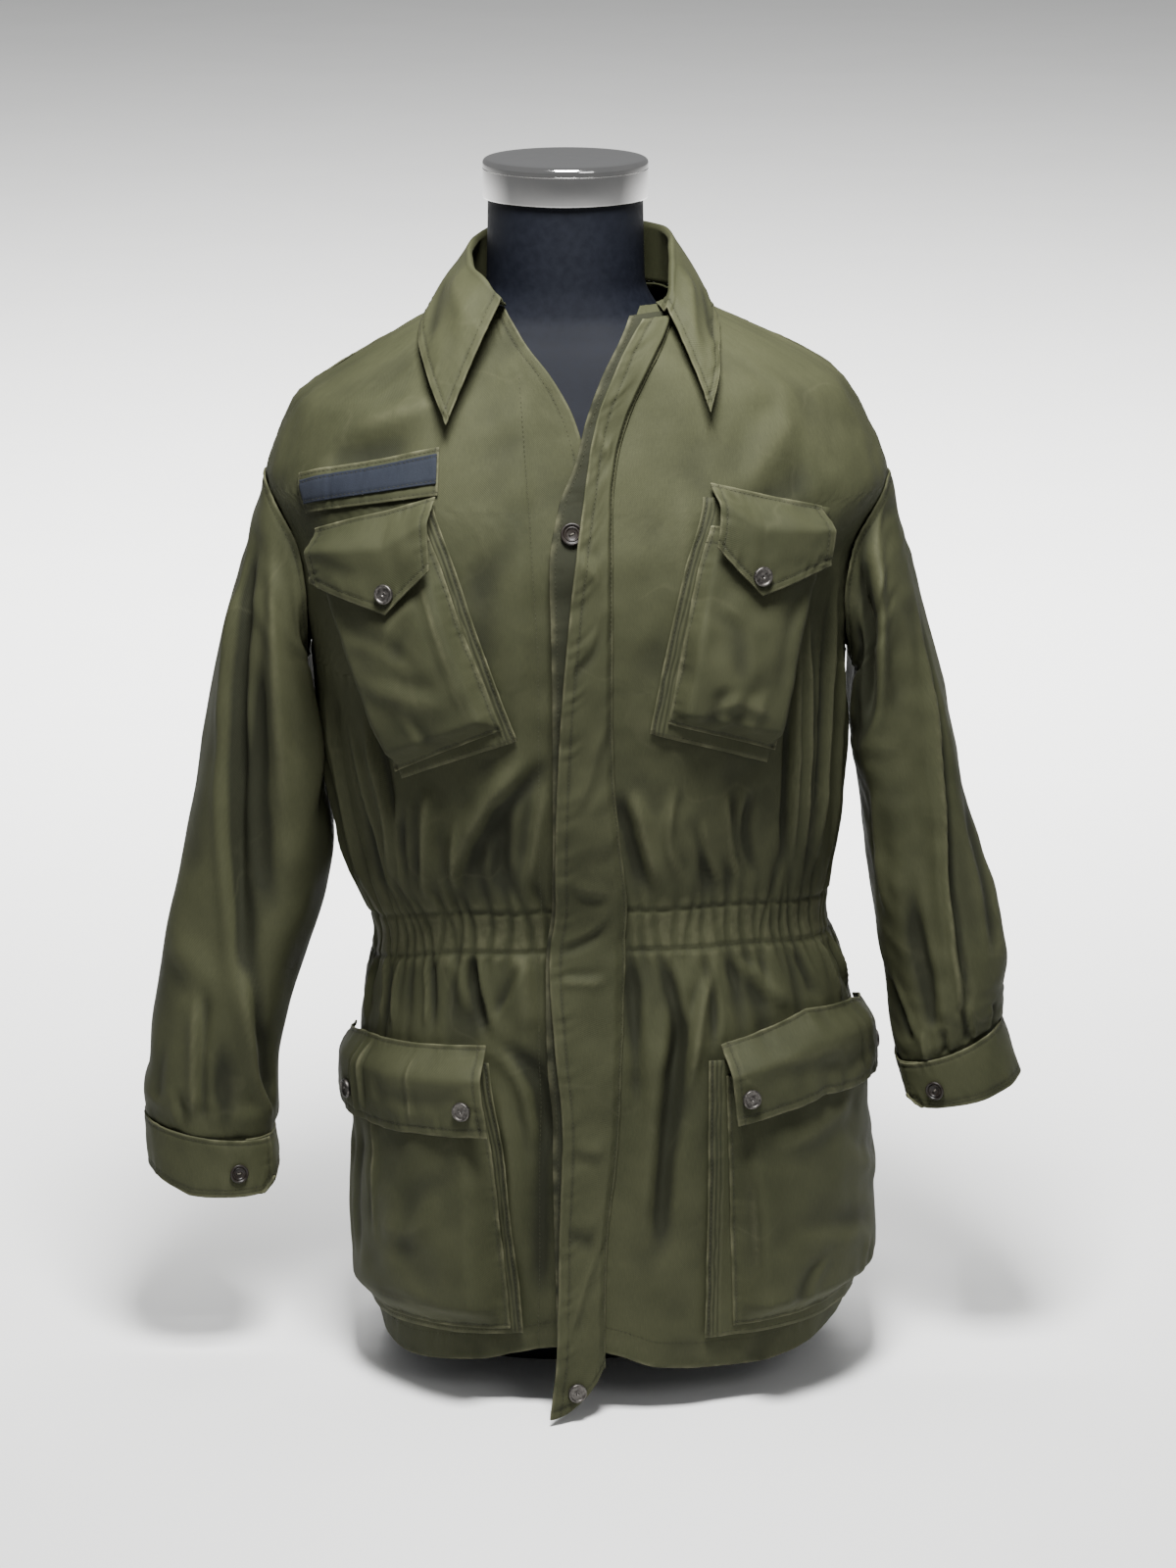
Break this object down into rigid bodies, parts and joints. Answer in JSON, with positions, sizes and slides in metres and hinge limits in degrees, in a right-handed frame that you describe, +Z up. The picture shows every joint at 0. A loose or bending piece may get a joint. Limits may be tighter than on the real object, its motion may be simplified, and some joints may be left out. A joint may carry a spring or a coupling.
{
  "type": "field jacket on a limbless dress form",
  "caption": "Hip-length field jacket with open collar, covered fly, gathered waist, button cuffs and bellows pockets with flaps, worn by a limbless dress form that stands on its foot",
  "frame": {"origin": "the centre of the dress form's flat foot, on the surface it stands on", "axes": "+Z up, the jacket's front faces -Y, the wearer's left is +X"},
  "size_m": [0.6958, 0.3348, 0.95],
  "materials": {
    "olive_cotton": "faded olive cotton twill, worn lighter along seams and edges",
    "navy_loop": "dark blue fuzzy loop tape, bare",
    "aged_metal": "worn, darkened press-stud caps",
    "dark_button": "semi-gloss dark brown plastic",
    "black_form": "smooth matt black",
    "bright_metal": "polished"
  },
  "bodies": {
    "root": {"form_torso": "black_form", "form_neck_cap": "bright_metal", "back": "olive_cotton", "collar": "olive_cotton", "front_right": "olive_cotton", "front_left": "olive_cotton", "fly_strip": "olive_cotton", "fly_placket": "olive_cotton", "name_tape_backing": "olive_cotton", "chest_backing_right": "olive_cotton", "chest_pocket_right": "olive_cotton", "chest_flap_right": "olive_cotton", "hip_backing_right": "olive_cotton", "hip_pocket_right": "olive_cotton", "hip_flap_right": "olive_cotton", "shoulder_strap_right": "olive_cotton", "sleeve_right": "olive_cotton", "cuff_right": "olive_cotton", "chest_backing_left": "olive_cotton", "chest_pocket_left": "olive_cotton", "chest_flap_left": "olive_cotton", "hip_backing_left": "olive_cotton", "hip_pocket_left": "olive_cotton", "hip_flap_left": "olive_cotton", "shoulder_strap_left": "olive_cotton", "sleeve_left": "olive_cotton", "cuff_left": "olive_cotton", "name_tape_loop": "navy_loop", "snap_chest_right": "aged_metal", "snap_hip_right_front": "aged_metal", "snap_hip_right_side": "aged_metal", "snap_chest_left": "aged_metal", "snap_hip_left_front": "aged_metal", "snap_hip_left_side": "aged_metal", "snap_placket": "aged_metal", "button_strap_right": "dark_button", "button_cuff_right": "dark_button", "button_strap_left": "dark_button", "button_cuff_left": "dark_button", "button_fly": "dark_button"}
  },
  "joints": []
}
